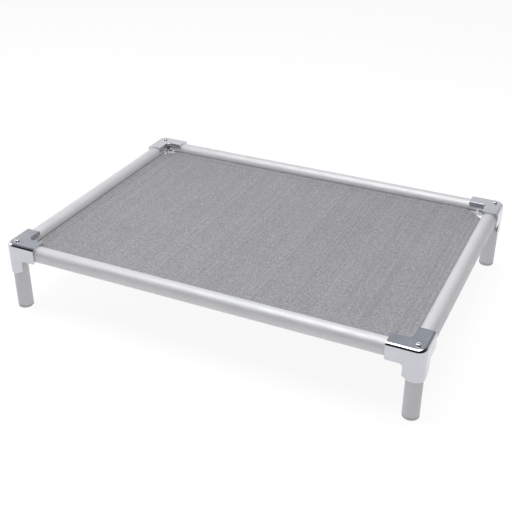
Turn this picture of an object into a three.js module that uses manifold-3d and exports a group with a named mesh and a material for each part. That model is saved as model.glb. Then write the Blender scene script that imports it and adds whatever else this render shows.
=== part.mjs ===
// Raised dog bed on an aluminium frame, in millimetres, +Z up.
//
// Four slotted rails and four round legs meet in four corner castings. A woven sheet hangs
// between the rails: a rod in the hem of each edge is held by a round track inside the rail.
// A bolt through each casting holds a leg, and a bolt through each rail end holds the rail.
//
// The origin is on the floor under the middle of the bed. +X runs along the long rails and
// -Y is the front.
import * as THREE from "three";
import { mergeVertices } from "three/addons/utils/BufferGeometryUtils.js";
import Module from "manifold-3d";

const wasm = await Module();
wasm.setup();

// ---- Driving dimensions ----

const LENGTH = 1270; // over the castings, along X
const WIDTH = 914; // over the castings, along Y
const RAIL_HEIGHT = 194; // floor to the rail axis
const FIT = 0.3; // clearance between pieces that touch

const RAIL_RADIUS = 24.15;
const LEG_RADIUS = 23;
const TUBE_WALL = 2.4;

const CASTING_WALL = 2.85;
const PLATE_THICKNESS = 3.6; // over a rail
const LIP_DEPTH = 10.5; // of the plate's inner edge, which hangs down beside a rail
const OUTER_EDGE_RADIUS = 10.5; // between the plate and the outer walls
const INNER_EDGE_RADIUS = 2; // on top of the plate's inner edge
const WING_LENGTH = 76; // leg axis to the end of a wing
const WING_BOTTOM = 173;
const WING_CORNER = 5; // rounds a wing's lower far corner
const PLATE_FILLET = 12; // inside the bend of the plate
const SKIRT_BOTTOM = 123; // lower end of the walls that wrap the leg
const SKIRT_REACH = 28; // leg axis to the free edge of a wall beside the leg
const SKIRT_FILLET = 10; // where a wing's lower edge turns down beside the leg
const SKIRT_TAPER_TOP = 139; // the skirt narrows to the leg below this height
const BULKHEAD_THICKNESS = 5; // between a leg and the end of a rail
const SPIGOT_END = 68; // leg axis to the end of the boss inside a rail

const TRACK_RADIUS = 5; // the round track that holds the hem
const TRACK_WALL = 2;
const TRACK_OFFSET = 8; // outside of the rail to the middle of the track
const SLOT_WIDTH = 4;
const HEM_ROD_RADIUS = 3.3;

const SHEET_THICKNESS = 1.6;
const CORNER_CUT = 99; // x + y, from the leg axis, of the sheet's cut corner

const FOOT_HEIGHT = 9; // the part of a foot cap below its leg
const FOOT_EDGE_RADIUS = 5;
const FOOT_PLUG_HEIGHT = 20;

const LEG_BOLT = { shank: 4, head: 7, headHeight: 4.4, socket: 2.9, length: 42 };
const SIDE_BOLT = { shank: 3, head: 5.4, headHeight: 3.3, socket: 2.3, length: 26 };
const RAIL_BOLT_PLACE = 46; // along the rail, from the leg axis
const LEG_SIDE_BOLT_HEIGHT = 148;

// ---- Worked out from the driving dimensions ----

const RAIL_BORE = RAIL_RADIUS - TUBE_WALL;
const LEG_BORE = LEG_RADIUS - TUBE_WALL;
const CRADLE_RADIUS = RAIL_RADIUS + FIT;
const OUTSIDE = CRADLE_RADIUS + CASTING_WALL; // leg axis to the casting's outer face
const SKIRT_TAPER_RADIUS = Math.hypot(OUTSIDE, SKIRT_REACH) + 0.2;
const PLATE_UNDERSIDE = RAIL_HEIGHT + CRADLE_RADIUS;
const PLATE_TOP = PLATE_UNDERSIDE + PLATE_THICKNESS;
const LIP_BOTTOM = PLATE_TOP - LIP_DEPTH; // also the top of the space for the leg
const LEG_X = LENGTH / 2 - OUTSIDE;
const LEG_Y = WIDTH / 2 - OUTSIDE;
const BULKHEAD_START = LEG_RADIUS + 0.45;
const RAIL_START = BULKHEAD_START + BULKHEAD_THICKNESS + 0.6; // leg axis to a rail's end
const TRACK_CENTRE = RAIL_RADIUS - TRACK_OFFSET; // from the rail axis, towards the sheet
const SHEET_EDGE = TRACK_CENTRE + HEM_ROD_RADIUS + FIT; // rail axis to the flat sheet's edge
const PLUG_FIT = 0.35; // between a tube's bore and what goes into it
const FAR = 300; // longer than any cut needs

const TUBE_SIDES = 32;
const BORE_SIDES = 24;
const SMALL_SIDES = 16;

// ---- Materials ----

const material = (color, roughness, metalness) =>
  new THREE.MeshStandardMaterial({ color, roughness, metalness });

const ANODISED = material(0xc4c6c8, 0.4, 0.9);
const CAST = material(0xc0c4cc, 0.22, 1);
const STEEL = material(0xd0d2d6, 0.2, 1);
const PLUG = material(0xa8aaae, 0.5, 0.9);
const CAP = material(0x8e9094, 0.6, 0);
const SHEET = material(0x9a9ba1, 0.85, 0);
const ROD = material(0x55575a, 0.6, 0);

// ---- Solids ----

// A closed geometry as a solid that can be joined and cut.
function solidOf(geometry) {
  const bare = geometry.clone();
  bare.deleteAttribute("normal");
  bare.deleteAttribute("uv");
  const merged = mergeVertices(bare, 1e-4);
  return new wasm.Manifold(
    new wasm.Mesh({
      numProp: 3,
      vertProperties: new Float32Array(merged.attributes.position.array),
      triVerts: new Uint32Array(merged.index.array),
    }),
  );
}

function geometryOf(solid) {
  const mesh = solid.getMesh();
  const geometry = new THREE.BufferGeometry();
  geometry.setAttribute("position", new THREE.BufferAttribute(mesh.vertProperties, 3));
  geometry.setIndex(new THREE.BufferAttribute(mesh.triVerts, 1));
  geometry.computeVertexNormals();
  return geometry;
}

function box(low, high) {
  const size = high.map((value, i) => value - low[i]);
  const middle = high.map((value, i) => (value + low[i]) / 2);
  return solidOf(new THREE.BoxGeometry(...size).translate(...middle));
}

// A cylinder from one height to another along Z, on the origin.
function upright(radius, from, to, sides = TUBE_SIDES) {
  const geometry = new THREE.CylinderGeometry(radius, radius, to - from, sides);
  return geometry.rotateX(Math.PI / 2).translate(0, 0, (from + to) / 2);
}

// A cylinder along X at the rails' height.
function railBar(radius, from, to, sides = TUBE_SIDES) {
  return solidOf(upright(radius, from, to, sides).rotateY(Math.PI / 2).translate(0, 0, RAIL_HEIGHT));
}

// The same piece on the corner's other wing: X and Y change places.
function onOtherWing(geometry) {
  return geometry.scale(1, -1, 1).rotateZ(Math.PI / 2);
}

// A mirrored geometry has its faces turned back out.
function turnedOut(geometry) {
  const index = geometry.index.array;
  for (let i = 0; i < index.length; i += 3) {
    [index[i + 1], index[i + 2]] = [index[i + 2], index[i + 1]];
  }
  return geometry;
}

function solidOnOtherWing(solid) {
  return solidOf(turnedOut(onOtherWing(geometryOf(solid))));
}

// ---- Button-head bolt with a hexagon socket ----

// It points down -Z, with the underside of its head at z = 0.
function boltSolid({ shank, head, headHeight, socket, length }, sides = 16) {
  const rimHeight = headHeight * 0.25;
  const crownRadius = head * 0.62;
  const profile = [
    new THREE.Vector2(0, -length),
    new THREE.Vector2(shank - 0.6, -length),
    new THREE.Vector2(shank, -length + 0.8),
    new THREE.Vector2(shank, 0),
    new THREE.Vector2(head, 0),
    new THREE.Vector2(head, rimHeight),
    new THREE.Vector2((head + crownRadius) / 2, headHeight * 0.78),
    new THREE.Vector2(crownRadius, headHeight),
    new THREE.Vector2(0, headHeight),
  ];
  const body = solidOf(new THREE.LatheGeometry(profile, sides).rotateX(Math.PI / 2));
  const key = solidOf(upright(socket, headHeight * 0.35, headHeight + 1, 6));
  return body.subtract(key);
}

// ---- Where the side bolts go ----

// Turns a bolt that points down -Z, so that it points at the rail axis through the slot.
function aimAtRail(geometry) {
  return geometry.rotateX(-Math.PI / 2).translate(RAIL_BOLT_PLACE, 0, RAIL_HEIGHT);
}

// Turns it so that it points at the leg axis from the bed's middle.
function aimAtLeg(geometry) {
  return geometry
    .rotateX(-Math.PI / 2)
    .rotateZ(-Math.PI / 4)
    .translate(0, 0, LEG_SIDE_BOLT_HEIGHT);
}

const SEAT_DEPTH = 0.7; // of the flat that a side bolt's head sits on
const SIDE_HOLE_START = -6; // on the far side of the tube's axis

function sideHole(aim) {
  return solidOf(aim(upright(SIDE_BOLT.shank + FIT, SIDE_HOLE_START, FAR, 12)));
}

// The flat and the hole that a side bolt needs in a tube.
function boltSeat(aim, tubeRadius) {
  const flat = solidOf(aim(upright(SIDE_BOLT.head + 0.4, tubeRadius - SEAT_DEPTH, FAR, 16)));
  return flat.add(sideHole(aim));
}

// ---- Rail ----

// A rail lies along X between two legs, with its slot on the +Y side.
function railSolid(legSpacing) {
  const start = RAIL_START;
  const end = legSpacing - RAIL_START;
  const trackAt = (solid) => solid.translate(0, TRACK_CENTRE, 0);
  const hollow = railBar(RAIL_BORE, start - 1, end + 1, TUBE_SIDES);
  const outside = railBar(RAIL_RADIUS, start, end);
  const track = trackAt(railBar(TRACK_RADIUS + TRACK_WALL, start, end, BORE_SIDES));
  const trackBore = trackAt(railBar(TRACK_RADIUS, start - 1, end + 1, SMALL_SIDES));
  const slot = box(
    [start - 1, TRACK_CENTRE, RAIL_HEIGHT - SLOT_WIDTH / 2],
    [end + 1, FAR, RAIL_HEIGHT + SLOT_WIDTH / 2],
  );
  const nearSeat = boltSeat(aimAtRail, RAIL_RADIUS);
  const farSeat = nearSeat.translate(legSpacing - 2 * RAIL_BOLT_PLACE, 0, 0);
  return outside
    .subtract(hollow)
    .add(track.intersect(outside))
    .subtract(trackBore)
    .subtract(slot)
    .subtract(nearSeat)
    .subtract(farSeat);
}

// ---- Corner casting ----

// The leg axis is at the origin, the outer corner is at -X -Y, and the wings run along +X and +Y.

// The outline of the top plate: an L that is rounded inside its bend.
function plateOutline() {
  const inner = RAIL_RADIUS;
  const fillet = PLATE_FILLET;
  const end = WING_LENGTH;
  const out = -OUTSIDE - 1;
  const shape = new THREE.Shape();
  shape.moveTo(out, out);
  shape.lineTo(end, out);
  shape.lineTo(end, inner);
  shape.lineTo(inner + fillet, inner);
  shape.absarc(inner + fillet, inner + fillet, fillet, -Math.PI / 2, -Math.PI, true);
  shape.lineTo(inner, end);
  shape.lineTo(out, end);
  return shape;
}

// The outline seen from the front: the wing, and the skirt that goes down beside the leg.
function sideOutline() {
  const out = -OUTSIDE - 1;
  const top = PLATE_TOP + 1;
  const filletX = SKIRT_REACH + SKIRT_FILLET;
  const filletZ = WING_BOTTOM - SKIRT_FILLET;
  const cornerX = WING_LENGTH - WING_CORNER;
  const cornerZ = WING_BOTTOM + WING_CORNER;
  const shape = new THREE.Shape();
  shape.moveTo(out, SKIRT_BOTTOM);
  shape.lineTo(SKIRT_REACH, SKIRT_BOTTOM);
  shape.lineTo(SKIRT_REACH, filletZ);
  shape.absarc(filletX, filletZ, SKIRT_FILLET, Math.PI, Math.PI / 2, true);
  shape.lineTo(cornerX, WING_BOTTOM);
  shape.absarc(cornerX, cornerZ, WING_CORNER, -Math.PI / 2, 0);
  shape.lineTo(WING_LENGTH, top);
  shape.lineTo(out, top);
  return shape;
}

// A block that fills the corner and is rounded where the casting's outer faces meet.
function roundedBlock() {
  const out = -OUTSIDE;
  const shape = new THREE.Shape();
  shape.moveTo(0, out);
  shape.lineTo(FAR, out);
  shape.lineTo(FAR, FAR);
  shape.lineTo(out, FAR);
  shape.lineTo(out, 0);
  shape.absarc(0, 0, OUTSIDE, Math.PI, 1.5 * Math.PI);
  const block = new THREE.ExtrudeGeometry(shape, {
    depth: FAR,
    curveSegments: 8,
    bevelEnabled: true,
    bevelThickness: OUTER_EDGE_RADIUS,
    bevelSize: OUTER_EDGE_RADIUS,
    bevelOffset: -OUTER_EDGE_RADIUS,
    bevelSegments: 3,
  });
  return solidOf(block.translate(0, 0, PLATE_TOP - OUTER_EDGE_RADIUS - FAR));
}

// The casting's outside: the plate and the two outer walls, still full inside.
function castingSkin() {
  const depth = 2 * FAR;
  const plate = new THREE.ExtrudeGeometry(plateOutline(), {
    depth,
    curveSegments: 6,
    bevelEnabled: true,
    bevelThickness: INNER_EDGE_RADIUS,
    bevelSize: INNER_EDGE_RADIUS,
    bevelOffset: -INNER_EDGE_RADIUS,
    bevelSegments: 2,
  });
  plate.translate(0, 0, PLATE_TOP - INNER_EDGE_RADIUS - depth);
  const side = new THREE.ExtrudeGeometry(sideOutline(), {
    depth,
    curveSegments: 6,
    bevelEnabled: false,
  });
  side.rotateX(Math.PI / 2).translate(0, FAR, 0);
  const keep = solidOf(side);
  return roundedBlock().intersect(solidOf(plate)).intersect(keep).intersect(solidOnOtherWing(keep));
}

// The space for the leg and the two rails, and all that is open inside the corner.
function castingHollow() {
  const legSpace = solidOf(upright(LEG_RADIUS + FIT, -FAR, LIP_BOTTOM));
  const railSpace = railBar(CRADLE_RADIUS, BULKHEAD_START, FAR);
  const underRail = box([0, -CRADLE_RADIUS, -FAR], [FAR, FAR, RAIL_HEIGHT]);
  const inside = box([0, 0, -FAR], [FAR, FAR, LIP_BOTTOM]);
  const wing = railSpace.add(underRail);
  return legSpace.add(wing).add(solidOnOtherWing(wing)).add(inside);
}

// The wall at a rail's end and the boss that goes into the rail.
function spigotSolid() {
  const wallEnd = BULKHEAD_START + BULKHEAD_THICKNESS;
  const wall = railBar(CRADLE_RADIUS + 0.15, BULKHEAD_START, wallEnd);
  const boss = railBar(RAIL_BORE - PLUG_FIT, wallEnd - 1, SPIGOT_END, TUBE_SIDES);
  const trackRadius = TRACK_RADIUS + TRACK_WALL + 0.5;
  const trackSpace = railBar(trackRadius, wallEnd, FAR, BORE_SIDES).translate(0, TRACK_CENTRE, 0);
  return wall.add(boss.subtract(trackSpace).subtract(sideHole(aimAtRail)));
}

// Everything above a cone that narrows the skirt down to the leg.
function aboveSkirtTaper() {
  const profile = [
    new THREE.Vector2(0, SKIRT_BOTTOM),
    new THREE.Vector2(LEG_RADIUS + 2, SKIRT_BOTTOM),
    new THREE.Vector2(SKIRT_TAPER_RADIUS, SKIRT_TAPER_TOP),
    new THREE.Vector2(FAR, SKIRT_TAPER_TOP),
    new THREE.Vector2(FAR, FAR),
    new THREE.Vector2(0, FAR),
  ];
  return solidOf(new THREE.LatheGeometry(profile, TUBE_SIDES).rotateX(Math.PI / 2));
}

function castingSolid() {
  const spigot = spigotSolid();
  const boltHole = solidOf(upright(LEG_BOLT.shank + 0.4, LIP_BOTTOM - 1, PLATE_TOP + 1, 16));
  return castingSkin()
    .subtract(castingHollow())
    .intersect(aboveSkirtTaper())
    .add(spigot)
    .add(solidOnOtherWing(spigot))
    .subtract(boltHole);
}

// ---- Leg, its plug and its foot cap ----

const LEG_TOP = LIP_BOTTOM - 0.5;
const LEG_PLUG_RADIUS = LEG_BORE - PLUG_FIT;
const LEG_PLUG_BOTTOM = LEG_SIDE_BOLT_HEIGHT - 14;

function legSolid() {
  return solidOf(upright(LEG_RADIUS, FOOT_HEIGHT + FIT, LEG_TOP))
    .subtract(solidOf(upright(LEG_BORE, 0, FAR)))
    .subtract(boltSeat(aimAtLeg, LEG_RADIUS));
}

function legPlugSolid() {
  const top = LEG_TOP - 0.5;
  const topHole = upright(LEG_BOLT.shank + FIT, top - LEG_BOLT.length - 5, FAR, 12);
  return solidOf(upright(LEG_PLUG_RADIUS, LEG_PLUG_BOTTOM, top))
    .subtract(solidOf(topHole))
    .subtract(sideHole(aimAtLeg));
}

function footCapGeometry() {
  const steps = 2;
  const profile = [new THREE.Vector2(0, 0)];
  for (let i = 0; i <= steps; i++) {
    const angle = -Math.PI / 2 + (i / steps) * (Math.PI / 2);
    profile.push(
      new THREE.Vector2(
        LEG_RADIUS - FOOT_EDGE_RADIUS + FOOT_EDGE_RADIUS * Math.cos(angle),
        FOOT_EDGE_RADIUS + FOOT_EDGE_RADIUS * Math.sin(angle),
      ),
    );
  }
  const wall = 3;
  profile.push(
    new THREE.Vector2(LEG_RADIUS, FOOT_HEIGHT),
    new THREE.Vector2(LEG_PLUG_RADIUS, FOOT_HEIGHT),
    new THREE.Vector2(LEG_PLUG_RADIUS - 0.5, FOOT_HEIGHT + FOOT_PLUG_HEIGHT),
    new THREE.Vector2(LEG_PLUG_RADIUS - wall, FOOT_HEIGHT + FOOT_PLUG_HEIGHT),
    new THREE.Vector2(LEG_PLUG_RADIUS - wall, FOOT_HEIGHT - 1),
    new THREE.Vector2(0, FOOT_HEIGHT - 1),
  );
  return new THREE.LatheGeometry(profile, TUBE_SIDES).rotateX(Math.PI / 2);
}

// ---- Sheet and hem rods ----

// An eight-sided sheet: a rectangle with its corners cut off.
function sheetGeometry() {
  const x = LEG_X - SHEET_EDGE;
  const y = LEG_Y - SHEET_EDGE;
  const cut = CORNER_CUT - 2 * SHEET_EDGE;
  const corners = [
    [x - cut, -y],
    [x, -y + cut],
    [x, y - cut],
    [x - cut, y],
    [-x + cut, y],
    [-x, y - cut],
    [-x, -y + cut],
    [-x + cut, -y],
  ];
  const shape = new THREE.Shape(corners.map((point) => new THREE.Vector2(...point)));
  const geometry = new THREE.ExtrudeGeometry(shape, {
    depth: SHEET_THICKNESS,
    bevelEnabled: false,
  });
  return geometry.translate(0, 0, RAIL_HEIGHT - SHEET_THICKNESS / 2);
}

// A rod along X, in the track of a rail between two legs.
function hemRodGeometry(legSpacing) {
  const start = CORNER_CUT - SHEET_EDGE;
  return upright(HEM_ROD_RADIUS, start, legSpacing - start, SMALL_SIDES)
    .rotateY(Math.PI / 2)
    .translate(0, TRACK_CENTRE, RAIL_HEIGHT);
}

// ---- Assembly ----

const bed = new THREE.Group();

function piece(name, geometry, finish, parent) {
  const mesh = new THREE.Mesh(geometry, finish);
  mesh.name = name;
  parent.add(mesh);
}

// Each side starts at the leg on its left, seen from outside, and its slot faces the middle.
const SIDES = [
  { name: "front", turn: 0, x: -LEG_X, y: -LEG_Y, spacing: 2 * LEG_X },
  { name: "right", turn: 90, x: LEG_X, y: -LEG_Y, spacing: 2 * LEG_Y },
  { name: "back", turn: 180, x: LEG_X, y: LEG_Y, spacing: 2 * LEG_X },
  { name: "left", turn: 270, x: -LEG_X, y: LEG_Y, spacing: 2 * LEG_Y },
];

// The corner at the start of each side.
const CORNERS = ["front_left", "front_right", "back_right", "back_left"];

const casting = geometryOf(castingSolid());
const leg = geometryOf(legSolid());
const legPlug = geometryOf(legPlugSolid());
const footCap = footCapGeometry();
const legBolt = geometryOf(boltSolid(LEG_BOLT));
const sideBolt = boltSolid(SIDE_BOLT);

legBolt.translate(0, 0, PLATE_TOP + FIT);
const seatedBolt = (aim, tubeRadius) =>
  aim(geometryOf(sideBolt.translate(0, 0, tubeRadius - SEAT_DEPTH + FIT)));
const legSideBolt = seatedBolt(aimAtLeg, LEG_RADIUS);
const railBolt = seatedBolt(aimAtRail, RAIL_RADIUS);

SIDES.forEach(({ name, turn, x, y, spacing }, i) => {
  const side = new THREE.Group();
  side.position.set(x, y, 0);
  side.rotation.z = turn * THREE.MathUtils.DEG2RAD;
  bed.add(side);

  piece(`${name}_rail`, geometryOf(railSolid(spacing)), ANODISED, side);
  piece(`${name}_hem_rod`, hemRodGeometry(spacing), ROD, side);
  piece(`${name}_rail_bolt_a`, railBolt.clone(), STEEL, side);
  const farBolt = railBolt.clone().translate(spacing - 2 * RAIL_BOLT_PLACE, 0, 0);
  piece(`${name}_rail_bolt_b`, farBolt, STEEL, side);

  const corner = CORNERS[i];
  piece(`${corner}_corner_casting`, casting, CAST, side);
  piece(`${corner}_leg`, leg, ANODISED, side);
  piece(`${corner}_leg_plug`, legPlug, PLUG, side);
  piece(`${corner}_foot_cap`, footCap, CAP, side);
  piece(`${corner}_leg_bolt`, legBolt, STEEL, side);
  piece(`${corner}_leg_side_bolt`, legSideBolt, STEEL, side);
});

piece("woven_sheet", sheetGeometry(), SHEET, bed);

export default bed;
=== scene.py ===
"""The looks of a raised dog bed: satin tube rails, cast corners, bright bolts and a woven sheet.

Every length is in metres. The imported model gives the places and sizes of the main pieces. A corner
is made once, with its leg's axis on the origin and its wings along +X and +Y, and then placed four
times. A rail starts at the leg on its left, seen from outside, and its slot faces +Y.
"""

import math

import bmesh
import bpy
from mathutils import Matrix, Vector


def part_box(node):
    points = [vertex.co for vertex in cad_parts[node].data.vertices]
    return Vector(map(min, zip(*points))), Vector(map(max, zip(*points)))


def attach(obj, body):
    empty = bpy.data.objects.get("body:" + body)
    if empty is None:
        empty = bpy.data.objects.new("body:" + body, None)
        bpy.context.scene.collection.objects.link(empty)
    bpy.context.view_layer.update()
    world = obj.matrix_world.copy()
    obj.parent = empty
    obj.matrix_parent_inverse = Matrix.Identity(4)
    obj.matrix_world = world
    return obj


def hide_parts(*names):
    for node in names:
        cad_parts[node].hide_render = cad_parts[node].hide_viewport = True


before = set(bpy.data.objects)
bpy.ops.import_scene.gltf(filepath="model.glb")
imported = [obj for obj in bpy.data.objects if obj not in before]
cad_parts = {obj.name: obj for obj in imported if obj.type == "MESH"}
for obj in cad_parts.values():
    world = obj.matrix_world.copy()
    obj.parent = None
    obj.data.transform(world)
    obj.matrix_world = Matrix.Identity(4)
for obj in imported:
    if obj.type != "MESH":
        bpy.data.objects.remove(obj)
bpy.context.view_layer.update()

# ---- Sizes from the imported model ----

leg_low, leg_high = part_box("front_right_leg")
rail_low, rail_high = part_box("front_rail")
casting_low, casting_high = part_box("front_right_corner_casting")
cap_low, cap_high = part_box("front_right_foot_cap")
rod_low, rod_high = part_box("front_hem_rod")
_, sheet_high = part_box("woven_sheet")

LEG_X = (leg_low.x + leg_high.x) / 2
LEG_Y = -(leg_low.y + leg_high.y) / 2
LEG_RADIUS = (leg_high.x - leg_low.x) / 2
RAIL_RADIUS = (rail_high.z - rail_low.z) / 2
LEG_BOTTOM = leg_low.z
LEG_TOP = leg_high.z
RAIL_HEIGHT = (rail_low.z + rail_high.z) / 2
RAIL_START = LEG_X - rail_high.x  # from a leg's axis to the end of a rail
OUTSIDE = casting_high.x - LEG_X  # from a leg's axis to the casting's outer face
PLATE_TOP = casting_high.z
SKIRT_BOTTOM = casting_low.z
WING_LENGTH = LEG_X - casting_low.x
TRACK_CENTRE = (rod_low.y + rod_high.y) / 2 + LEG_Y  # from a rail's axis, towards the sheet
ROD_RADIUS = (rod_high.z - rod_low.z) / 2
ROD_START = LEG_X - rod_high.x
SHEET_X = sheet_high.x
SHEET_Y = sheet_high.y

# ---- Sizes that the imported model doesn't give ----

FIT = 0.0003
PLUG_FIT = 0.00035
HEAD_FIT = 0.0004
TUBE_WALL = 0.0024
CRADLE_RADIUS = RAIL_RADIUS + FIT
LIP_BOTTOM = PLATE_TOP - 0.0105  # of the plate's inner edge, beside a rail
OUTER_EDGE_RADIUS = 0.0105
INNER_EDGE_RADIUS = 0.002
PLATE_FILLET = 0.012
WING_BOTTOM = 0.173
WING_CORNER = 0.005
SKIRT_REACH = 0.028
SKIRT_FILLET = 0.010
SKIRT_TAPER_TOP = 0.139
SKIRT_END = LEG_RADIUS + 0.002  # the skirt's radius at its lower end
BULKHEAD_START = LEG_RADIUS + 0.00045
BULKHEAD_END = BULKHEAD_START + 0.005
SPIGOT_END = 0.068  # from the leg's axis
TRACK_RADIUS = 0.005
TRACK_WALL = 0.002
TRACK_FIT = 0.0005
SLOT_HALF = 0.002
SLOT_LIP = 0.0006  # rounds the slot's edges
OVERLAP = 0.001  # of a cut past the face that it opens, or of a boss into its wall
EDGE_OVERLAP = 0.0002  # of a wall's rim into the casting, or of a cut past the casting's corner
FAR = 0.3  # past everything that is cut, sideways or upwards
BELOW = -0.01  # under everything that is cut

BOLT_RIM_SHARE = 0.22  # of the head's height, that is a straight rim
BOLT_CROWN_SHARE = 0.42  # of the head's radius, that is rounded
BOLT_EDGE = 0.0003
BOLT_TIP = 0.0006
BOLT_TIP_LENGTH = 0.0008
SOCKET_CHAMFER = 0.0002
SOCKET_MOUTH = (1.22, 1.12)  # the chamfer's outer and inner radius, as shares of the socket's
SOCKET_FLOOR = 0.35  # as a share of the head's height
LEG_BOLT = {"shank": 0.004, "head": 0.007, "height": 0.0044, "socket": 0.0029, "length": 0.042}
SIDE_BOLT = {"shank": 0.003, "head": 0.0054, "height": 0.0033, "socket": 0.0023, "length": 0.026}
SEAT_DEPTH = 0.0007  # of the flat under a side bolt's head
SIDE_HOLE_START = -0.006  # on the far side of the tube's axis
SIDE_HOLE_END = 0.06  # outside the tube
RAIL_BOLT_PLACE = 0.046  # from the leg's axis
LEG_SIDE_BOLT_HEIGHT = 0.148

LEG_EDGE = 0.0006
ROD_EDGE = 0.0012
CAP_EDGE = 0.005
CAP_RIM_EDGE = 0.0004
CAP_PLUG_TAPER = 0.0005
CAP_PLUG_WALL = 0.003
CAP_BORE_DEPTH = 0.001  # below the rim that meets the leg

CORNER_CUT = 0.099  # x + y, from the leg's axis, of the sheet's cut corner
SHEET_THICKNESS = 0.0014
SHEET_SAG = 0.005
SAG_POWER = 0.8  # below 1, the sheet is flatter in the middle and steeper at its edges
SAG_OUTSIDE = 0.004  # from the sheet's edge out to where the sag starts
SHEET_GRID = 0.009
HEM_BAND = 0.030
CORNER_HEM_BAND = 0.018
HEM_STEP = 0.0007
HEM_STEP_HALF = 0.0006  # half the width over which a hem steps down
RIPPLE_HEIGHT = 0.0005
RIPPLE_FREQUENCY = 13  # per radian round the leg's axis
RIPPLE_REACH = 0.42  # from the leg's axis
RIPPLE_FADE = 0.3
RIPPLE_CLEAR = 0.028  # from a rail's axis
RIPPLE_CLEAR_FADE = 0.03
STITCH_PITCH = 0.0046
STITCH_LENGTH = 0.0034
STITCH_RADIUS = 0.00035
STITCH_ROWS = (0.004, 0.010)  # from the hem's inner edge

ROUND = 128  # sides of a large cylinder
SMALL_ROUND = 48

SIDES = [
    ("front", 0, -LEG_X, -LEG_Y, 2 * LEG_X),
    ("right", 90, LEG_X, -LEG_Y, 2 * LEG_Y),
    ("back", 180, LEG_X, LEG_Y, 2 * LEG_X),
    ("left", 270, -LEG_X, LEG_Y, 2 * LEG_Y),
]
CORNERS = ["front_left", "front_right", "back_right", "back_left"]
CORNER_SIGNS = [(-1, -1), (1, -1), (1, 1), (-1, 1)]  # of x and y


# ---- Materials ----


class Finish:
    """A material under construction: its nodes, and its Principled shader."""

    def __init__(self, name, color, roughness, metallic=0.0):
        self.material = bpy.data.materials.new(name)
        self.material.use_nodes = True
        self.tree = self.material.node_tree
        self.shader = self.tree.nodes["Principled BSDF"]
        self.set("Base Color", (*color, 1))
        self.set("Roughness", roughness)
        self.set("Metallic", metallic)
        self.coords = self.tree.nodes.new("ShaderNodeTexCoord")

    def set(self, socket, value):
        self.shader.inputs[socket].default_value = value

    def node(self, kind, inputs=None, **settings):
        made = self.tree.nodes.new("ShaderNode" + kind)
        for name, value in settings.items():
            setattr(made, name, value)
        for name, value in (inputs or {}).items():
            if isinstance(value, bpy.types.NodeSocket):
                self.tree.links.new(value, made.inputs[name])
            else:
                made.inputs[name].default_value = value
        return made

    def join(self, output, socket):
        self.tree.links.new(output, self.shader.inputs[socket])

    def math(self, operation, *values):
        return self.node("Math", dict(enumerate(values)), operation=operation).outputs[0]

    def mix(self, share, first, second):
        """first where share is 0, and second where it is 1."""
        inputs = {0: share, 2: first, 3: second}  # the sockets of a mix of single values
        return self.node("Mix", inputs, data_type="FLOAT").outputs[0]

    def noise(self, scale, stretch=(1, 1, 1), detail=3.0, roughness=0.5):
        place = self.node(
            "Mapping", {"Vector": self.coords.outputs["Object"], "Scale": stretch}
        ).outputs["Vector"]
        texture = self.node(
            "TexNoise",
            {"Vector": place, "Scale": scale, "Detail": detail, "Roughness": roughness},
        )
        return texture.outputs["Fac"]

    def between(self, value, low, high, from_low=0.35, from_high=0.65):
        """value, which runs from from_low to from_high, taken to run from low to high."""
        inputs = {
            "Value": value,
            "From Min": from_low,
            "From Max": from_high,
            "To Min": low,
            "To Max": high,
        }
        return self.node("MapRange", inputs).outputs["Result"]

    def tint(self, color, factor):
        """color, made lighter or darker by factor."""
        inputs = {0: color, "Scale": factor}
        scaled = self.node("VectorMath", inputs, operation="SCALE")
        return scaled.outputs["Vector"]

    def bump(self, height, distance, strength=1.0, under=None):
        inputs = {"Height": height, "Distance": distance, "Strength": strength}
        if under is not None:
            inputs["Normal"] = under
        return self.node("Bump", inputs).outputs["Normal"]


def anodised(name, color, stretch):
    """Satin clear-anodised tube. stretch draws out its fine die lines along the tube."""
    finish = Finish(name, color, 0.52, 0.35)
    lines = finish.noise(700, stretch, 4.0, 0.6)
    cloud = finish.noise(9, (1, 1, 1), 3.0)
    smudge = finish.noise(38, (1, 1, 1), 5.0, 0.6)
    line_wear = finish.between(lines, -0.045, 0.045)
    smudge_wear = finish.between(smudge, 0.48, 0.56)
    finish.join(finish.math("ADD", line_wear, smudge_wear), "Roughness")
    line_shade = finish.between(lines, -0.02, 0.02)
    cloud_shade = finish.between(cloud, 0.97, 1.02)
    finish.join(finish.tint(color, finish.math("ADD", line_shade, cloud_shade)), "Base Color")
    finish.join(finish.bump(lines, 0.00003, 0.5), "Normal")
    return finish.material


def cast_metal():
    """Blasted casting with polished rounded edges."""
    color = (0.56, 0.565, 0.61)
    finish = Finish("cast_aluminium", color, 0.17, 1.0)
    grain = finish.noise(1500, (1, 1, 1), 2.0)
    cloud = finish.noise(26, (1, 1, 1), 4.0, 0.6)
    normal = finish.node("SeparateXYZ", {"Vector": finish.coords.outputs["Normal"]})
    up = finish.math("ABSOLUTE", normal.outputs["Z"])
    off_top = finish.between(up, 1.0, 0.0, 0.975, 0.995)
    off_side = finish.between(up, 0.0, 1.0, 0.10, 0.22)
    polished = finish.math("MULTIPLY", off_top, off_side)
    blasted = finish.between(cloud, 0.13, 0.21)
    finish.join(finish.mix(polished, blasted, 0.07), "Roughness")
    finish.join(finish.tint(color, finish.between(cloud, 0.96, 1.03)), "Base Color")
    rough_share = finish.math("SUBTRACT", 1.0, polished)
    finish.join(finish.bump(finish.math("MULTIPLY", grain, rough_share), 0.00004, 0.5), "Normal")
    return finish.material


def bolt_steel():
    finish = Finish("bolt_steel", (0.74, 0.74, 0.76), 0.16, 1.0)
    scratches = finish.noise(900, (1, 1, 0.1), 3.0)
    finish.join(finish.between(scratches, 0.10, 0.24), "Roughness")
    finish.join(finish.bump(scratches, 0.00002, 0.4), "Normal")
    return finish.material


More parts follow.
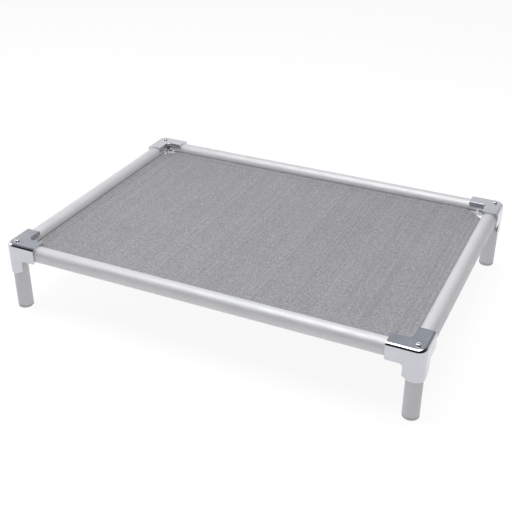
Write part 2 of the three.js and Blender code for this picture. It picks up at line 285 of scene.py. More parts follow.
def plug_metal():
    finish = Finish("plug_aluminium", (0.66, 0.66, 0.67), 0.4, 1.0)
    rings = finish.noise(400, (0.05, 0.05, 6), 2.0)
    finish.join(finish.between(rings, 0.3, 0.5), "Roughness")
    finish.join(finish.bump(rings, 0.00004, 0.5), "Normal")
    return finish.material


def cap_plastic():
    color = (0.45, 0.45, 0.46)
    finish = Finish("foot_cap", color, 0.5)
    grain = finish.noise(2400, (1, 1, 1), 2.0)
    scuff = finish.noise(60, (1, 1, 3), 5.0, 0.65)
    finish.join(finish.between(scuff, 0.42, 0.62), "Roughness")
    finish.join(finish.tint(color, finish.between(scuff, 0.93, 1.06)), "Base Color")
    finish.join(finish.bump(grain, 0.00005, 0.5), "Normal")
    return finish.material


def woven(name, color, pitch):
    """Plain weave of coated yarn: each yarn is one pitch wide, over and under by turns.

    The crossings differ in shade, and so do the yarns along Y, in pairs. The colour is also darker
    where the yarns dip: painted shade in the hollows of the weave.
    """
    finish = Finish(name, color, 0.62)
    finish.set("Sheen Weight", 0.15)
    finish.set("Sheen Roughness", 0.4)
    place = finish.node("SeparateXYZ", {"Vector": finish.coords.outputs["Object"]})

    def crown(cells):
        """The rounded back of a yarn, from 0 between two yarns to 1 in the middle of one."""
        return finish.math("ABSOLUTE", finish.math("SINE", finish.math("MULTIPLY", cells, math.pi)))

    across = finish.math("MULTIPLY", place.outputs["X"], 1 / pitch)
    along = finish.math("MULTIPLY", place.outputs["Y"], 1 / pitch)
    column = finish.math("FLOOR", across)
    row = finish.math("FLOOR", along)
    turn = finish.math("FLOORED_MODULO", finish.math("ADD", column, row), 2.0)
    warp = crown(across)
    weft = crown(along)
    over = finish.mix(turn, warp, weft)
    under = finish.mix(turn, weft, warp)
    height = finish.math("MULTIPLY", over, finish.math("POWER", under, 0.35))

    cell = finish.node("CombineXYZ", {"X": column, "Y": row}).outputs[0]
    speck = finish.node("TexWhiteNoise", {"Vector": cell}).outputs["Value"]
    pair = finish.math("FLOOR", finish.math("MULTIPLY", across, 0.5))
    ribs = finish.node("CombineXYZ", {"X": pair}).outputs[0]
    rib = finish.node("TexWhiteNoise", {"Vector": ribs}).outputs["Value"]
    slub = finish.noise(600, (1, 0.12, 1), 3.0)
    cloud = finish.noise(5, (1, 1, 1), 4.0)
    # Painted shade: the colour is darkest where the yarns dip, and the random tones below scale it.
    painted_shade_and_tone = finish.between(height, 0.62, 1.10, 0.0, 1.0)
    painted_shade_and_tone = finish.math("MULTIPLY", painted_shade_and_tone, finish.between(speck, 0.70, 1.30, 0.0, 1.0))
    painted_shade_and_tone = finish.math("MULTIPLY", painted_shade_and_tone, finish.between(rib, 0.93, 1.07, 0.0, 1.0))
    painted_shade_and_tone = finish.math("MULTIPLY", painted_shade_and_tone, finish.between(slub, 0.92, 1.08))
    painted_shade_and_tone = finish.math("MULTIPLY", painted_shade_and_tone, finish.between(cloud, 0.975, 1.025))
    finish.join(finish.tint(color, painted_shade_and_tone), "Base Color")
    finish.join(finish.between(height, 0.72, 0.56, 0.0, 1.0), "Roughness")
    soft = finish.bump(slub, 0.0003, 0.3)
    finish.join(finish.bump(height, 0.0003, 0.6, soft), "Normal")
    return finish.material


def thread():
    color = (0.28, 0.28, 0.30)
    finish = Finish("stitch_thread", color, 0.7)
    twist = finish.noise(2600, (1, 1, 1), 1.0)
    finish.join(finish.tint(color, finish.between(twist, 0.8, 1.15)), "Base Color")
    finish.join(finish.bump(twist, 0.0001, 0.6), "Normal")
    return finish.material


RAIL_METAL = anodised("anodised_rail", (0.60, 0.60, 0.615), (0.01, 1, 1))
# The legs' colour is darker than the rails': painted shade, for the shadowed floor under the bed that
# the legs reflect. Only their die lines run along the leg.
PAINTED_SHADE_LEG_METAL = anodised("anodised_leg_painted_shade", (0.53, 0.525, 0.545), (1, 1, 0.01))
CAST_METAL = cast_metal()
BOLT_STEEL = bolt_steel()
PLUG_METAL = plug_metal()
CAP_PLASTIC = cap_plastic()
FABRIC = woven("woven_sheet", (0.295, 0.292, 0.307), 0.0024)
THREAD = thread()


# ---- Meshes ----


def mesh_from(bm, name):
    mesh = bpy.data.meshes.new(name)
    bm.to_mesh(mesh)
    bm.free()
    return mesh


def loft(loops):
    """A closed solid through loops of the same number of points, from the lowest to the highest."""
    bm = bmesh.new()
    rings = [[bm.verts.new(point) for point in loop] for loop in loops]
    count = len(rings[0])
    for lower, upper in zip(rings, rings[1:]):
        for i in range(count):
            j = (i + 1) % count
            bm.faces.new((lower[i], lower[j], upper[j], upper[i]))
    bm.faces.new(list(reversed(rings[0])))
    bm.faces.new(rings[-1])
    return mesh_from(bm, "loft")


def prism(outline, low, high):
    """A prism along Z over an anticlockwise outline."""
    return loft([[(x, y, z) for x, y in outline] for z in (low, high)])


def circle(radius, sides, x=0.0, y=0.0, start=0.0, end=math.tau, closed=True):
    """Points on an arc. A closed circle leaves out its last point, which is its first."""
    steps = sides if closed else sides - 1
    angles = [start + (end - start) * i / steps for i in range(sides)]
    return [(x + radius * math.cos(a), y + radius * math.sin(a)) for a in angles]


def cylinder(radius, low, high, sides=ROUND):
    return prism(circle(radius, sides), low, high)


def lathe(profile, sides=ROUND):
    """A closed solid round Z. The profile's first and last points are on the axis."""
    bm = bmesh.new()
    rings = []
    for radius, height in profile[1:-1]:
        rings.append([bm.verts.new((x, y, height)) for x, y in circle(radius, sides)])
    bottom = bm.verts.new((0, 0, profile[0][1]))
    top = bm.verts.new((0, 0, profile[-1][1]))
    for i in range(sides):
        j = (i + 1) % sides
        bm.faces.new((bottom, rings[0][j], rings[0][i]))
        for lower, upper in zip(rings, rings[1:]):
            bm.faces.new((lower[i], lower[j], upper[j], upper[i]))
        bm.faces.new((rings[-1][i], rings[-1][j], top))
    return mesh_from(bm, "lathe")


def eased_rim(radius, end, edge):
    """The rounded edge of a bar's lower end, as a profile. A negative edge is for an upper end."""
    size = abs(edge)
    return [(radius - size, end), (radius - size * 0.3, end + edge * 0.3), (radius, end + edge)]


def moved(mesh, matrix):
    """A copy of mesh after matrix. A mirrored copy has its faces turned back out."""
    copy = mesh.copy()
    copy.transform(matrix)
    if matrix.determinant() < 0:
        copy.flip_normals()
    return copy


def drop_slivers(mesh):
    """Takes out the faces without area that a cut can leave."""
    bm = bmesh.new()
    bm.from_mesh(mesh)
    bmesh.ops.remove_doubles(bm, verts=bm.verts, dist=1e-6)
    bmesh.ops.dissolve_degenerate(bm, edges=bm.edges, dist=1e-6)
    bm.to_mesh(mesh)
    bm.free()


def boolean(base, operation, *others):
    """base joined with, cut by or kept inside the other meshes."""
    scene = bpy.context.scene.collection
    made = bpy.data.objects.new("boolean", base)
    scene.objects.link(made)
    tools = []
    for other in others:
        tool = bpy.data.objects.new("tool", other)
        scene.objects.link(tool)
        tools.append(tool)
        modifier = made.modifiers.new("boolean", "BOOLEAN")
        modifier.object = tool
        modifier.operation = operation
        modifier.solver = "MANIFOLD"
    graph = bpy.context.evaluated_depsgraph_get()
    result = bpy.data.meshes.new_from_object(made.evaluated_get(graph))
    for item in [made, *tools]:
        bpy.data.objects.remove(item)
    drop_slivers(result)
    return result


def soften(piece, width):
    """Rounds a piece's sharp edges a little, and keeps its flats flat."""
    bevel = piece.modifiers.new("bevel", "BEVEL")
    bevel.width = width
    bevel.segments = 2
    bevel.limit_method = "ANGLE"
    bevel.angle_limit = math.radians(35)
    bevel.miter_outer = "MITER_ARC"
    weighted = piece.modifiers.new("weighted", "WEIGHTED_NORMAL")
    weighted.keep_sharp = True


def smooth(mesh, angle=35):
    mesh.polygons.foreach_set("use_smooth", [True] * len(mesh.polygons))
    mesh.set_sharp_from_angle(angle=math.radians(angle))


def add_piece(name, mesh, finish, replaced=(), place=None):
    piece = bpy.data.objects.new(name, mesh)
    bpy.context.scene.collection.objects.link(piece)
    piece.matrix_world = place or Matrix()
    if not mesh.materials:
        mesh.materials.append(finish)
    mesh.materials[0] = finish
    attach(piece, "root")
    if replaced:
        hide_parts(*replaced)
    return piece


LAID_ALONG_X = Matrix(((0, 0, 1, 0), (1, 0, 0, 0), (0, 1, 0, 0), (0, 0, 0, 1)))
ON_OTHER_WING = Matrix(((0, 1, 0, 0), (1, 0, 0, 0), (0, 0, 1, 0), (0, 0, 0, 1)))


def rail_bar(radius, low, high, sides=ROUND):
    """A cylinder along X at the rails' height."""
    raised = Matrix.Translation((0, 0, RAIL_HEIGHT))
    return moved(cylinder(radius, low, high, sides), raised @ LAID_ALONG_X)


# ---- Bolts ----

AIM_AT_RAIL = (
    Matrix.Translation((RAIL_BOLT_PLACE, 0, RAIL_HEIGHT))
    @ Matrix.Rotation(-math.pi / 2, 4, "X")
)
AIM_AT_LEG = (
    Matrix.Translation((0, 0, LEG_SIDE_BOLT_HEIGHT))
    @ Matrix.Rotation(-math.pi / 4, 4, "Z")
    @ Matrix.Rotation(-math.pi / 2, 4, "X")
)


def bolt_mesh(shank, head, height, socket, length):
    """A button-head bolt that points down, with a hexagon socket. Its head stands on z = 0."""
    rim = height * BOLT_RIM_SHARE
    flat = head * (1 - BOLT_CROWN_SHARE)
    crown = [
        (flat + (head - flat) * math.cos(a), rim + (height - rim) * math.sin(a))
        for a in [math.pi / 2 * i / 8 for i in range(9)]
    ]
    mouth = [socket * share for share in SOCKET_MOUTH]
    profile = [
        (0, -length),
        (shank - BOLT_TIP, -length),
        (shank, -length + BOLT_TIP_LENGTH),
        (shank, 0),
        (head - BOLT_EDGE, 0),
        (head, BOLT_EDGE),
        *crown,
        (mouth[0], height),
        (mouth[1], height - SOCKET_CHAMFER),
        (0, height - SOCKET_CHAMFER),
    ]
    body = lathe(profile, SMALL_ROUND)
    key = prism(circle(socket, 6), height * SOCKET_FLOOR, height + OVERLAP)
    mesh = boolean(body, "DIFFERENCE", key)
    smooth(mesh)
    return mesh


def side_hole(aim):
    radius = SIDE_BOLT["shank"] + FIT
    return moved(cylinder(radius, SIDE_HOLE_START, SIDE_HOLE_END, SMALL_ROUND), aim)


def bolt_seat(aim, tube_radius):
    """The flat and the hole that a side bolt needs in a tube."""
    radius = SIDE_BOLT["head"] + HEAD_FIT
    flat = cylinder(radius, tube_radius - SEAT_DEPTH, SIDE_HOLE_END, SMALL_ROUND)
    return [moved(flat, aim), side_hole(aim)]


# ---- Rails ----


def slotted_section():
    """The outer edge of a rail's section, as (towards the sheet, up), with the slot and its track."""
    lip = RAIL_RADIUS - SLOT_LIP
    opening = math.asin((SLOT_HALF + SLOT_LIP) / lip)
    mouth = math.asin(SLOT_HALF / TRACK_RADIUS)
    lip_y = lip * math.cos(opening)
    around = circle(RAIL_RADIUS, 120, start=opening, end=math.tau - opening, closed=False)
    lower_lip = circle(
        SLOT_LIP, 5, lip_y, -SLOT_HALF - SLOT_LIP, start=-opening, end=math.pi / 2, closed=False
    )
    track = circle(TRACK_RADIUS, 36, TRACK_CENTRE, start=-mouth, end=mouth - math.tau, closed=False)
    upper_lip = circle(
        SLOT_LIP, 5, lip_y, SLOT_HALF + SLOT_LIP, start=-math.pi / 2, end=opening, closed=False
    )
    return around + lower_lip[1:] + track + upper_lip[:-1]


def bore_section():
    """The hollow of a rail's section: the tube's bore, less the wall of the track."""
    bore = RAIL_RADIUS - TUBE_WALL
    wall = TRACK_RADIUS + TRACK_WALL
    meet = (bore**2 - wall**2 + TRACK_CENTRE**2) / (2 * TRACK_CENTRE)
    bore_angle = math.acos(meet / bore)
    wall_angle = math.acos((meet - TRACK_CENTRE) / wall)
    around = circle(bore, 72, start=bore_angle, end=math.tau - bore_angle, closed=False)
    inward = circle(
        wall, 30, TRACK_CENTRE, start=-wall_angle, end=wall_angle - math.tau, closed=False
    )
    return around + inward[1:-1]


def section_bar(loops, low, high):
    """A bar along X at the rails' height, from a section with holes."""
    curve = bpy.data.curves.new("section", "CURVE")
    curve.dimensions = "2D"
    curve.fill_mode = "BOTH"
    curve.extrude = (high - low) / 2
    for loop in loops:
        spline = curve.splines.new("POLY")
        spline.points.add(len(loop) - 1)
        for point, (x, y) in zip(spline.points, loop):
            point.co = (x, y, 0, 1)
        spline.use_cyclic_u = True
    shape = bpy.data.objects.new("section", curve)
    mesh = bpy.data.meshes.new_from_object(shape)
    bpy.data.objects.remove(shape)
    bm = bmesh.new()
    bm.from_mesh(mesh)
    bmesh.ops.remove_doubles(bm, verts=bm.verts, dist=1e-6)
    bmesh.ops.recalc_face_normals(bm, faces=bm.faces)
    placed = Matrix.Translation(((high + low) / 2, 0, RAIL_HEIGHT)) @ LAID_ALONG_X
    bmesh.ops.transform(bm, matrix=placed, verts=bm.verts)
    return mesh_from(bm, "rail")


def rail_mesh(spacing):
    bar = section_bar([slotted_section(), bore_section()], RAIL_START, spacing - RAIL_START)
    to_far_end = Matrix.Translation((spacing - 2 * RAIL_BOLT_PLACE, 0, 0))
    seats = bolt_seat(AIM_AT_RAIL, RAIL_RADIUS)
    far_seats = [moved(mesh, to_far_end) for mesh in seats]
    mesh = boolean(bar, "DIFFERENCE", *seats, *far_seats)
    smooth(mesh)
    return mesh


# ---- Corner casting ----


def rounded_top(radius, steps):
    """The steps of a rounded edge at the plate's top, as (inset, height)."""
    for i in range(steps + 1):
        angle = math.pi / 2 * i / steps
        yield radius * (1 - math.cos(angle)), PLATE_TOP - radius * (1 - math.sin(angle))


def rounded_block():
    """Fills the corner, and is rounded where the casting's outer faces meet."""
    loops = []
    for inset, height in [(0.0, 0.0), *rounded_top(OUTER_EDGE_RADIUS, 16)]:
        out = OUTSIDE - inset
        corner = circle(out, 40, start=math.pi, end=1.5 * math.pi, closed=False)
        outline = corner + [(FAR, -out), (FAR, FAR), (-out, FAR)]
        loops.append([(x, y, height) for x, y in outline])
    return loft(loops)


def plate_outline(inset):
    """An L that is rounded inside its bend. Its arms are cut to length by the side outlines."""
    out = -OUTSIDE - OVERLAP
    inner = RAIL_RADIUS - inset
    bend = RAIL_RADIUS + PLATE_FILLET
    fillet_radius = PLATE_FILLET + inset
    fillet = circle(fillet_radius, 20, bend, bend, 1.5 * math.pi, math.pi, closed=False)
    return [(out, out), (FAR, out), (FAR, inner), *fillet, (inner, FAR), (out, FAR)]


def plate_block():
    """The plate's outline as a tall block, whose inner edge is rounded at the plate's top."""
    levels = [(0.0, 0.0), *rounded_top(INNER_EDGE_RADIUS, 8)]
    return loft([[(x, y, height) for x, y in plate_outline(inset)] for inset, height in levels])


def side_outline():
    """The casting seen from the front, as (x, z): the wing, and the skirt beside the leg."""
    out = -OUTSIDE - OVERLAP
    top = PLATE_TOP + OVERLAP
    fillet_x = SKIRT_REACH + SKIRT_FILLET
    fillet_z = WING_BOTTOM - SKIRT_FILLET
    corner_x = WING_LENGTH - WING_CORNER
    corner_z = WING_BOTTOM + WING_CORNER
    fillet = circle(SKIRT_FILLET, 20, fillet_x, fillet_z, math.pi, math.pi / 2, closed=False)
    corner = circle(WING_CORNER, 12, corner_x, corner_z, -math.pi / 2, 0, closed=False)
    return [
        (out, SKIRT_BOTTOM),
        (SKIRT_REACH, SKIRT_BOTTOM),
        *fillet,
        *corner,
        (WING_LENGTH, top),
        (out, top),
    ]


def casting_hollow():
    """The space for the leg, the two rails and everything between them."""
    leg_space = cylinder(LEG_RADIUS + FIT, BELOW, LIP_BOTTOM)
    low = -CRADLE_RADIUS
    under_rail = prism([(0, low), (FAR, low), (FAR, FAR), (0, FAR)], BELOW, RAIL_HEIGHT)
    inside = prism([(0, 0), (FAR, 0), (FAR, FAR), (0, FAR)], BELOW, LIP_BOTTOM)
    rail_space = rail_bar(CRADLE_RADIUS, BULKHEAD_START, FAR)
    wing = [rail_space, under_rail]
    return [leg_space, *wing, *[moved(mesh, ON_OTHER_WING) for mesh in wing], inside]


def spigot():
    """The wall at a rail's end and the boss that goes into the rail."""
    wall = rail_bar(CRADLE_RADIUS + EDGE_OVERLAP, BULKHEAD_START, BULKHEAD_END)
    boss = rail_bar(RAIL_RADIUS - TUBE_WALL - PLUG_FIT, BULKHEAD_END - OVERLAP, SPIGOT_END)
    track_radius = TRACK_RADIUS + TRACK_WALL + TRACK_FIT
    track_space = rail_bar(track_radius, BULKHEAD_END, FAR, SMALL_ROUND)
    beside = Matrix.Translation((0, TRACK_CENTRE, 0))
    boss = boolean(boss, "DIFFERENCE", moved(track_space, beside), side_hole(AIM_AT_RAIL))
    return boolean(wall, "UNION", boss)


def casting_mesh():
    outline = [(x, -z) for x, z in reversed(side_outline())]
    side = moved(prism(outline, -FAR, FAR), Matrix.Rotation(-math.pi / 2, 4, "X"))
    cone_top = math.hypot(OUTSIDE, SKIRT_REACH) + EDGE_OVERLAP
    taper = lathe(
        [
            (0, SKIRT_BOTTOM),
            (SKIRT_END, SKIRT_BOTTOM),
            (cone_top, SKIRT_TAPER_TOP),
            (FAR, SKIRT_TAPER_TOP),
            (FAR, 2 * FAR),
            (0, 2 * FAR),
        ]
    )
    outlines = [plate_block(), side, moved(side, ON_OTHER_WING), taper]
    skin = boolean(rounded_block(), "INTERSECT", *outlines)
    shell = boolean(skin, "DIFFERENCE", *casting_hollow())
    bosses = spigot()
    joined = boolean(shell, "UNION", bosses, moved(bosses, ON_OTHER_WING))
    hole_radius = LEG_BOLT["shank"] + HEAD_FIT
    bolt_hole = cylinder(hole_radius, LIP_BOTTOM - OVERLAP, PLATE_TOP + OVERLAP, 32)
    mesh = boolean(joined, "DIFFERENCE", bolt_hole)
    smooth(mesh, 30)
    return mesh


# ---- Leg and foot cap ----


def leg_mesh():
    lower_edge = eased_rim(LEG_RADIUS, LEG_BOTTOM, LEG_EDGE)
    outside = lathe([(0, LEG_BOTTOM), *lower_edge, (LEG_RADIUS, LEG_TOP), (0, LEG_TOP)])
    bore = cylinder(LEG_RADIUS - TUBE_WALL, LEG_BOTTOM - OVERLAP, LEG_TOP + OVERLAP)
    mesh = boolean(outside, "DIFFERENCE", bore, *bolt_seat(AIM_AT_LEG, LEG_RADIUS))
    smooth(mesh)
    return mesh


def cap_mesh():
    """A cap with a rounded lower edge, and a hollow plug that goes into the leg."""
    rim = LEG_BOTTOM - FIT
    plug = LEG_RADIUS - TUBE_WALL - PLUG_FIT
    bore = plug - CAP_PLUG_WALL
    bore_end = rim - CAP_BORE_DEPTH
    rounding = circle(
        CAP_EDGE, 13, LEG_RADIUS - CAP_EDGE, cap_low.z + CAP_EDGE, -math.pi / 2, 0, closed=False
    )
    profile = [
        (0, cap_low.z),
        *rounding,
        (LEG_RADIUS, rim - CAP_RIM_EDGE),
        (LEG_RADIUS - CAP_RIM_EDGE, rim),
        (plug, rim),
        (plug - CAP_PLUG_TAPER, cap_high.z),
        (bore, cap_high.z),
        (bore, bore_end),
        (0, bore_end),
    ]
    mesh = lathe(profile, 96)
    smooth(mesh, 30)
    return mesh


# ---- Sheet ----

EDGES = [  # of the sheet: a point on the edge's line, the inward direction, and the hem's width
    (Vector((0, -SHEET_Y)), Vector((0, 1)), HEM_BAND),
    (Vector((SHEET_X, 0)), Vector((-1, 0)), HEM_BAND),
    (Vector((0, SHEET_Y)), Vector((0, -1)), HEM_BAND),
    (Vector((-SHEET_X, 0)), Vector((1, 0)), HEM_BAND),
]
for side_x, side_y in CORNER_SIGNS:
    on_line = Vector((side_x * (LEG_X - CORNER_CUT / 2), side_y * (LEG_Y - CORNER_CUT / 2)))
    inward = Vector((-side_x, -side_y)).normalized()
    EDGES.append((on_line, inward, CORNER_HEM_BAND))


def smoothstep(value):
    value = min(1.0, max(0.0, value))
    return value * value * (3 - 2 * value)


def sheet_height(x, y):
    """The top of the sheet: a shallow sag, corner ripples, and the step where a hem ends."""
    half_x = SHEET_X + SAG_OUTSIDE
    half_y = SHEET_Y + SAG_OUTSIDE
    bowl = max(0.0, 1 - (x / half_x) ** 2) * max(0.0, 1 - (y / half_y) ** 2)
    height = RAIL_HEIGHT + SHEET_THICKNESS / 2 - SHEET_SAG * bowl**SAG_POWER
    place = Vector((x, y))
    step = 0.0
    for point, inward, band in EDGES:
        distance = (place - point).dot(inward)
        past_step = (distance - band + HEM_STEP_HALF) / (2 * HEM_STEP_HALF)
        step = max(step, 1 - smoothstep(past_step))
    to_corner = Vector((LEG_X - abs(x), LEG_Y - abs(y)))
    reach = to_corner.length
    angle = math.atan2(to_corner.y, to_corner.x)
    near_corner = smoothstep((RIPPLE_REACH - reach) / RIPPLE_FADE)
    off_rails = smoothstep((min(to_corner) - RIPPLE_CLEAR) / RIPPLE_CLEAR_FADE)
    wave = math.cos(RIPPLE_FREQUENCY * (angle - math.pi / 4))
    return height + HEM_STEP * step + RIPPLE_HEIGHT * wave * near_corner * off_rails


def cut_lines():
    """Where the sheet is divided, so that its hems have crisp edges."""
    for point, inward, band in EDGES:
        for offset in (band - HEM_STEP_HALF, band, band + HEM_STEP_HALF):
            yield point + inward * offset, inward


def sheet_mesh():
    columns = round(2 * SHEET_X / SHEET_GRID)
    rows = round(2 * SHEET_Y / SHEET_GRID)
    across = [-SHEET_X + 2 * SHEET_X * i / columns for i in range(columns + 1)]
    along = [-SHEET_Y + 2 * SHEET_Y * j / rows for j in range(rows + 1)]
    bm = bmesh.new()
    grid = [[bm.verts.new((x, y, 0)) for y in along] for x in across]
    for i in range(columns):
        for j in range(rows):
            bm.faces.new((grid[i][j], grid[i + 1][j], grid[i + 1][j + 1], grid[i][j + 1]))

    def divide(point, normal, clear):
        bmesh.ops.bisect_plane(
            bm,
            geom=[*bm.verts, *bm.edges, *bm.faces],
            dist=1e-6,
            plane_co=(*point, 0),
            plane_no=(*normal, 0),
            clear_inner=clear,
        )

    for point, inward, _ in EDGES[4:]:
        divide(point, inward, True)
    for point, normal in cut_lines():
        divide(point, normal, False)
    for vertex in bm.verts:
        vertex.co.z = sheet_height(vertex.co.x, vertex.co.y)
    mesh = mesh_from(bm, "sheet")
    smooth(mesh, 60)
    return mesh


def stitch_rows():
    """The ends of each row of stitches, on the sheet's plan."""
    for offset in STITCH_ROWS:
        inset = HEM_BAND - offset
        cut = CORNER_CUT + math.sqrt(2) * (CORNER_HEM_BAND - offset)
        edge_x = SHEET_X - inset
        edge_y = SHEET_Y - inset
        from_x = LEG_X - (cut - (LEG_Y - edge_y))
        from_y = LEG_Y - (cut - (LEG_X - edge_x))
        for side in (-1, 1):
            yield Vector((-from_x, side * edge_y)), Vector((from_x, side * edge_y))
            yield Vector((side * edge_x, -from_y)), Vector((side * edge_x, from_y))
        for side_x, side_y in CORNER_SIGNS:
            yield (
                Vector((side_x * from_x, side_y * edge_y)),
                Vector((side_x * edge_x, side_y * from_y)),
            )


def stitching_mesh():
    """Rows of single stitches, each a small spindle half sunk into the hem, above and below."""
    bm = bmesh.new()
    sections = [(-0.5, 0.35), (-0.3, 0.9), (0.3, 0.9), (0.5, 0.35)]  # place and size, as shares
    sides = 6
    for start, end in stitch_rows():
        along = (end - start).normalized()
        aside = Vector((-along.y, along.x))
        count = int((end - start).length / STITCH_PITCH)
        margin = ((end - start).length - count * STITCH_PITCH) / 2
        for i in range(count):
            middle = start + along * (margin + STITCH_PITCH * (i + 0.5))
            top = sheet_height(middle.x, middle.y)
            for height in (top, top - SHEET_THICKNESS):
                rings = []
                for place, size in sections:
                    centre = middle + along * (place * STITCH_LENGTH)
                    ring = []
                    for across, up in circle(STITCH_RADIUS * size, sides):
                        flat = centre + aside * across
                        ring.append(bm.verts.new((flat.x, flat.y, height + up)))
                    rings.append(ring)
                for lower, upper in zip(rings, rings[1:]):
                    for k in range(sides):
                        m = (k + 1) % sides
                        bm.faces.new((lower[k], lower[m], upper[m], upper[k]))
                bm.faces.new(list(reversed(rings[0])))
                bm.faces.new(rings[-1])
    bmesh.ops.recalc_face_normals(bm, faces=bm.faces)
    mesh = mesh_from(bm, "stitching")
    smooth(mesh, 80)
    return mesh


def rod_mesh(spacing):
    """The hem's rod, wrapped in the sheet's cloth."""
    length = spacing - 2 * ROD_START
    near_edge = eased_rim(ROD_RADIUS, 0, ROD_EDGE)
    far_edge = reversed(eased_rim(ROD_RADIUS, length, -ROD_EDGE))
    profile = [(0, 0), *near_edge, *far_edge, (0, length)]
    placed = Matrix.Translation((ROD_START, TRACK_CENTRE, RAIL_HEIGHT)) @ LAID_ALONG_X
    mesh = moved(lathe(profile, SMALL_ROUND), placed)
    smooth(mesh)
    return mesh


# ---- Assembly ----

rails = {spacing: rail_mesh(spacing) for spacing in (2 * LEG_X, 2 * LEG_Y)}
rods = {spacing: rod_mesh(spacing) for spacing in (2 * LEG_X, 2 * LEG_Y)}
casting = casting_mesh()
leg = leg_mesh()
cap = cap_mesh()
leg_bolt = bolt_mesh(**LEG_BOLT)
side_bolt = bolt_mesh(**SIDE_BOLT)

on_rail = Matrix.Translation((0, 0, RAIL_RADIUS - SEAT_DEPTH + FIT))
on_leg = Matrix.Translation((0, 0, LEG_RADIUS - SEAT_DEPTH + FIT))
on_plate = Matrix.Translation((0, 0, PLATE_TOP + FIT))

for (side, turn, x, y, spacing), corner in zip(SIDES, CORNERS):
    place = Matrix.Translation((x, y, 0)) @ Matrix.Rotation(math.radians(turn), 4, "Z")
    far_end = Matrix.Translation((spacing - 2 * RAIL_BOLT_PLACE, 0, 0))

    rail_node = f"{side}_rail"
    add_piece(f"{side}_rail_tube", rails[spacing], RAIL_METAL, [rail_node], place)
    add_piece(f"{side}_hem", rods[spacing], FABRIC, [f"{side}_hem_rod"], place)
    bolts = [
        (f"{side}_rail_bolt_a", side_bolt, AIM_AT_RAIL @ on_rail),
        (f"{side}_rail_bolt_b", side_bolt, far_end @ AIM_AT_RAIL @ on_rail),
        (f"{corner}_leg_side_bolt", side_bolt, AIM_AT_LEG @ on_leg),
        (f"{corner}_leg_bolt", leg_bolt, on_plate),
    ]
    for node, mesh, aim in bolts:
        add_piece(f"{node}_head", mesh, BOLT_STEEL, [node], place @ aim)

    casting_node = f"{corner}_corner_casting"
    corner_piece = add_piece(
        f"{corner}_corner", casting, CAST_METAL, [casting_node], place
    )
    soften(corner_piece, 0.0005)
    add_piece(f"{corner}_leg_tube", leg, PAINTED_SHADE_LEG_METAL, [f"{corner}_leg"], place)
    add_piece(f"{corner}_foot", cap, CAP_PLASTIC, [f"{corner}_foot_cap"], place)

    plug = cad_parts[f"{corner}_leg_plug"]
    for material_slot in plug.material_slots:
        material_slot.material = PLUG_METAL

sheet = add_piece("sheet", sheet_mesh(), FABRIC, ["woven_sheet"])
thickness = sheet.modifiers.new("thickness", "SOLIDIFY")
thickness.thickness = SHEET_THICKNESS
thickness.offset = -1
stitching = add_piece("hem_stitching", stitching_mesh(), THREAD)

# ---- Floor ----

FLOOR_HALF = 12.0

floor_bm = bmesh.new()
bmesh.ops.create_grid(floor_bm, x_segments=1, y_segments=1, size=FLOOR_HALF)
floor = bpy.data.objects.new("floor", mesh_from(floor_bm, "floor"))
bpy.context.scene.collection.objects.link(floor)
floor_finish = Finish("floor", (0.12, 0.12, 0.12), 0.9)
floor_finish.set("Specular IOR Level", 0.1)
floor_finish.set("Emission Color", (1, 1, 1, 1))
floor_finish.set("Emission Strength", 0.9)
floor.data.materials.append(floor_finish.material)

# ---- Light ----


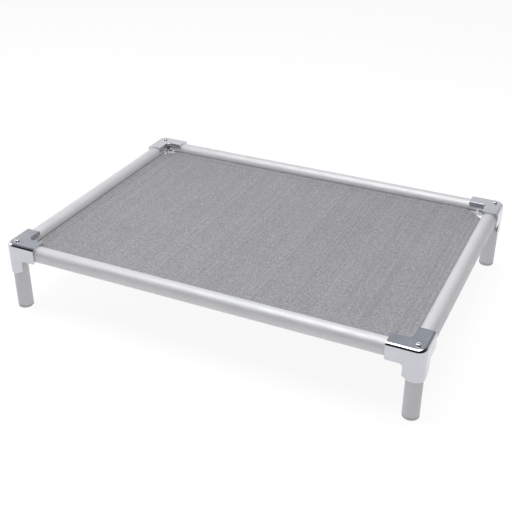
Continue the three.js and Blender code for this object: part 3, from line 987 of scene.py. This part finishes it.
def studio():
    """Soft surroundings: pale behind and to the left, dim above, dark in front and to the right."""
    world = bpy.data.worlds.new("studio")
    world.use_nodes = True
    bpy.context.scene.world = world
    nodes = world.node_tree.nodes
    links = world.node_tree.links
    background = nodes["Background"]
    coords = nodes.new("ShaderNodeTexCoord")
    split = nodes.new("ShaderNodeSeparateXYZ")
    links.new(coords.outputs["Generated"], split.inputs[0])

    def ramp(source, stops):
        made = nodes.new("ShaderNodeValToRGB")
        elements = made.color_ramp.elements
        while len(elements) < len(stops):
            elements.new(0.5)
        for element, (place, level, *tint) in zip(elements, stops):
            element.position = place
            element.color = (*(Vector(tint or (1, 1, 1)) * level), 1)
        shifted = nodes.new("ShaderNodeMapRange")
        shifted.inputs["From Min"].default_value = -1
        links.new(source, shifted.inputs["Value"])
        links.new(shifted.outputs["Result"], made.inputs["Fac"])
        return made.outputs["Color"]

    def product(first, second, share):
        """first, and first times second where share is 1."""
        made = nodes.new("ShaderNodeMix")
        made.data_type = "RGBA"
        made.blend_type = "MULTIPLY"
        # A mix of colours has its share in socket 0, its colours in 6 and 7 and its result in 2.
        links.new(share, made.inputs[0])
        links.new(first, made.inputs[6])
        links.new(second, made.inputs[7])
        return made.outputs[2]

    # Each ramp runs from -1 to +1 of one part of the direction, so 0.5 is where that part is 0.
    blue = (0.93, 1.0, 1.06)
    height_stops = [
        (0.0, 0.8),
        (0.5, 1.1),
        (0.71, 1.1),
        (0.735, 0.47, *blue),
        (0.785, 0.50, *blue),
        (0.87, 0.32, *blue),
        (1.0, 0.32),
    ]
    depth_stops = [(0.0, 0.03), (0.3, 0.08), (0.5, 0.8), (0.6, 1.0)]
    side_stops = [(0.0, 1.0), (0.5, 1.0), (0.68, 0.5), (0.82, 0.12), (1.0, 0.08)]
    by_height = ramp(split.outputs["Z"], height_stops)
    by_depth = ramp(split.outputs["Y"], depth_stops)
    by_side = ramp(split.outputs["X"], side_stops)
    above_horizon = ramp(split.outputs["Z"], [(0.55, 0.0), (0.58, 1.0)])
    shaded = product(product(by_height, by_depth, above_horizon), by_side, above_horizon)
    links.new(shaded, background.inputs["Color"])


def softbox(name, place, target, width, height, power):
    light = bpy.data.lights.new(name, "AREA")
    light.shape = "RECTANGLE"
    light.size = width
    light.size_y = height
    light.energy = power
    lamp = bpy.data.objects.new(name, light)
    bpy.context.scene.collection.objects.link(lamp)
    lamp.location = place
    lamp.rotation_euler = (Vector(target) - Vector(place)).to_track_quat("-Z", "Y").to_euler()


studio()
softbox("overhead", (-0.05, -0.2, 3.0), (-0.05, -0.2, 0), 3.0, 2.6, 98)
softbox("left", (-3.2, -0.6, 1.8), (0, 0, 0.1), 2.4, 1.8, 26)

# ---- Camera ----

CAMERA_PLACE = (1.0039, -2.2008, 1.4871)
CAMERA_TURN = math.radians(25.23)  # to the left of +Y
CAMERA_DIP = math.radians(29.86)  # below level
CAMERA_ROLL = math.radians(0.18)

camera = bpy.data.objects.new("camera", bpy.data.cameras.new("camera"))
bpy.context.scene.collection.objects.link(camera)
camera.data.lens = 62.5
camera.data.sensor_width = 36
camera.data.dof.use_dof = False
camera.matrix_world = (
    Matrix.Translation(CAMERA_PLACE)
    @ Matrix.Rotation(CAMERA_TURN, 4, "Z")
    @ Matrix.Rotation(math.pi / 2 - CAMERA_DIP, 4, "X")
    @ Matrix.Rotation(CAMERA_ROLL, 4, "Z")
)
bpy.context.scene.camera = camera
bpy.context.scene.view_settings.view_transform = "Standard"
